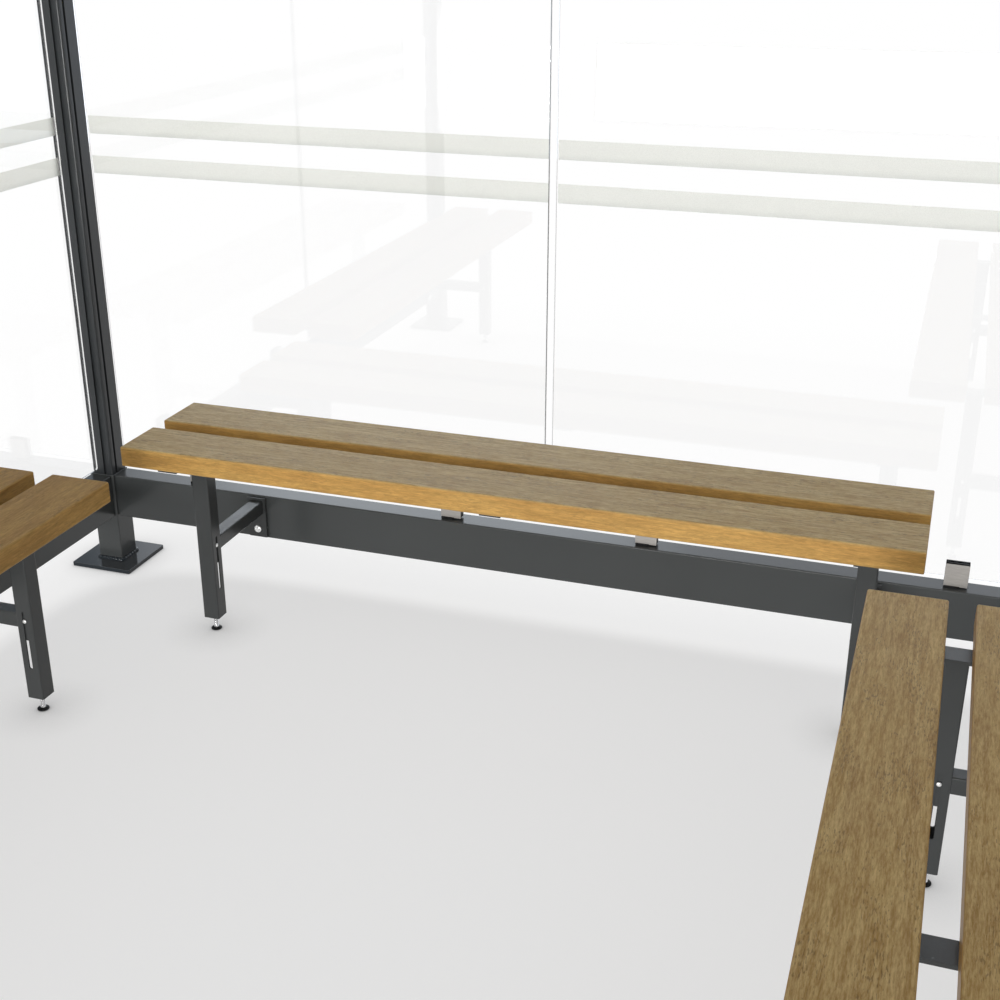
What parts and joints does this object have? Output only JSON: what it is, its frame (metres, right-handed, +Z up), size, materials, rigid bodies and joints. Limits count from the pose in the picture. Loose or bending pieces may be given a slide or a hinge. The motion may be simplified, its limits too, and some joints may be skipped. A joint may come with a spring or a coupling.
{
  "type": "smoking shelter bench enclosure",
  "caption": "Square three-sided glazed bench enclosure of a smoking shelter: steel posts and rails, clipped clear glass with frosted bands, slatted timber benches, open front, no roof.",
  "frame": {"origin": "middle of the square of posts, on the floor", "axes": "+X to the right seen from the open front, +Y towards the back wall, +Z up"},
  "size_m": [2.25, 2.25, 2.2],
  "materials": {
    "frame_steel": "anthracite powder coat, semi-gloss",
    "base_plate_steel": "anthracite powder coat, glossy",
    "bench_steel": "anthracite powder coat, semi-gloss",
    "clear_glass": "clear polished toughened glass with frosted warning bands",
    "clip_steel": "brushed stainless steel",
    "slat_wood": "oiled hardwood, fine straight grain, matt",
    "foot_steel": "bright plated stem on a black foot disc"
  },
  "bodies": {
    "root": {"base_plate_back_left": "base_plate_steel", "post_foot_back_left": "frame_steel", "post_back_left": "frame_steel", "base_plate_back_right": "base_plate_steel", "post_foot_back_right": "frame_steel", "post_back_right": "frame_steel", "base_plate_front_left": "base_plate_steel", "post_foot_front_left": "frame_steel", "post_front_left": "frame_steel", "base_plate_front_right": "base_plate_steel", "post_foot_front_right": "frame_steel", "post_front_right": "frame_steel", "bottom_rail_back": "frame_steel", "top_rail_back": "frame_steel", "clips_back": "clip_steel", "glass_back_left": "clear_glass", "glass_back_right": "clear_glass", "bench_back_slat_front": "slat_wood", "bench_back_slat_rear": "slat_wood", "bench_back_bearers": "bench_steel", "bench_back_legs": "bench_steel", "bench_back_stays": "bench_steel", "bench_back_feet": "foot_steel", "bottom_rail_left": "frame_steel", "top_rail_left": "frame_steel", "clips_left": "clip_steel", "glass_left_front": "clear_glass", "glass_left_rear": "clear_glass", "bench_left_slat_front": "slat_wood", "bench_left_slat_rear": "slat_wood", "bench_left_bearers": "bench_steel", "bench_left_legs": "bench_steel", "bench_left_stays": "bench_steel", "bench_left_feet": "foot_steel", "bottom_rail_right": "frame_steel", "top_rail_right": "frame_steel", "clips_right": "clip_steel", "glass_right_front": "clear_glass", "glass_right_rear": "clear_glass", "bench_right_slat_front": "slat_wood", "bench_right_slat_rear": "slat_wood", "bench_right_bearers": "bench_steel", "bench_right_legs": "bench_steel", "bench_right_stays": "bench_steel", "bench_right_feet": "foot_steel"}
  },
  "joints": []
}
